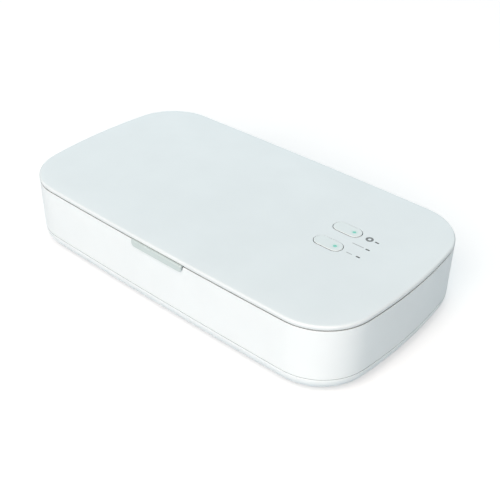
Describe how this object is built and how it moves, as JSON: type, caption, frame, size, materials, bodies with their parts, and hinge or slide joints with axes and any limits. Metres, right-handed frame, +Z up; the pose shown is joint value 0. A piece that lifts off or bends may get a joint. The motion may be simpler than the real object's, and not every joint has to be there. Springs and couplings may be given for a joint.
{
  "type": "uv phone sanitizer box",
  "caption": "Flat rounded box with a rear-hinged lid, a lit push-button panel, and a reflective lamp chamber with a wire rack that holds a phone.",
  "frame": {"origin": "middle of the box's footprint, on the surface that the feet stand on", "axes": "+X along the long side towards the buttons, the thumb tab faces -Y, +Z up out of the lid"},
  "size_m": [0.22, 0.1226, 0.0406],
  "materials": {
    "white_shell": "satin moulded plastic, cool white",
    "white_inner": "fine matte moulded plastic, white",
    "tab_plastic": "fine matte moulded plastic, pale grey green",
    "button_plastic": "fine matte moulded plastic, pale grey",
    "green_window": "clear green light pipe",
    "dark_window": "smoked light pipe",
    "bright_liner": "bright reflective sheet",
    "steel_wire": "polished stainless wire",
    "lamp_glass": "clear quartz",
    "lamp_holder": "unglazed white ceramic",
    "board_green": "green solder mask",
    "black_plastic": "black moulded plastic",
    "transformer_yellow": "ferrite core in yellow tape",
    "capacitor_can": "bare aluminium can",
    "zinc_steel": "zinc plated steel",
    "magnet_nickel": "nickel plate",
    "foot_rubber": "matte rubber",
    "led_lens": "clear resin"
  },
  "bodies": {
    "base": {"base_shell": "white_shell", "bottom_cover": "white_shell", "rubber_feet": "foot_rubber", "cover_screws": "zinc_steel", "top_frame": "white_inner", "chamber_liner": "bright_liner", "phone_rack": "steel_wire", "rack_rails": "steel_wire", "lower_lamp": "lamp_glass", "lower_lamp_holders": "lamp_holder", "main_board": "board_green", "driver_transformer": "transformer_yellow", "board_capacitors": "capacitor_can", "board_chips": "black_plastic", "board_screws": "zinc_steel", "inlet_board": "board_green", "power_inlet": "zinc_steel", "inlet_tongue": "black_plastic", "base_magnets": "magnet_nickel", "lid_sensor": "black_plastic", "hinge_pins": "zinc_steel", "lid_bumpers": "foot_rubber"},
    "lid": {"lid_shell": "white_shell", "thumb_tab": "tab_plastic", "lid_frame": "white_inner", "lid_liner": "bright_liner", "upper_lamp": "lamp_glass", "upper_lamp_holders": "lamp_holder", "control_board": "board_green", "switch_bodies": "black_plastic", "indicator_lights": "led_lens", "indicator_windows": "dark_window", "control_screws": "zinc_steel", "lid_screws": "zinc_steel", "lid_magnets": "magnet_nickel"},
    "button_1": {"button_1_cap": "button_plastic", "button_1_window": "green_window", "button_1_plunger": "black_plastic"},
    "button_2": {"button_2_cap": "button_plastic", "button_2_window": "green_window", "button_2_plunger": "black_plastic"}
  },
  "joints": [
    {"name": "lid_hinge", "type": "hinge", "parent": "base", "child": "lid", "pos_m": [0, 0.0588, 0.036], "axis": [-1, 0, 0], "range_deg": [0, 100]},
    {"name": "button_1_press", "type": "slide", "parent": "lid", "child": "button_1", "axis": [0, 0, -1], "range_m": [0, 0.0006], "stiffness_N_per_m": 1500},
    {"name": "button_2_press", "type": "slide", "parent": "lid", "child": "button_2", "axis": [0, 0, -1], "range_m": [0, 0.0006], "stiffness_N_per_m": 1500}
  ]
}
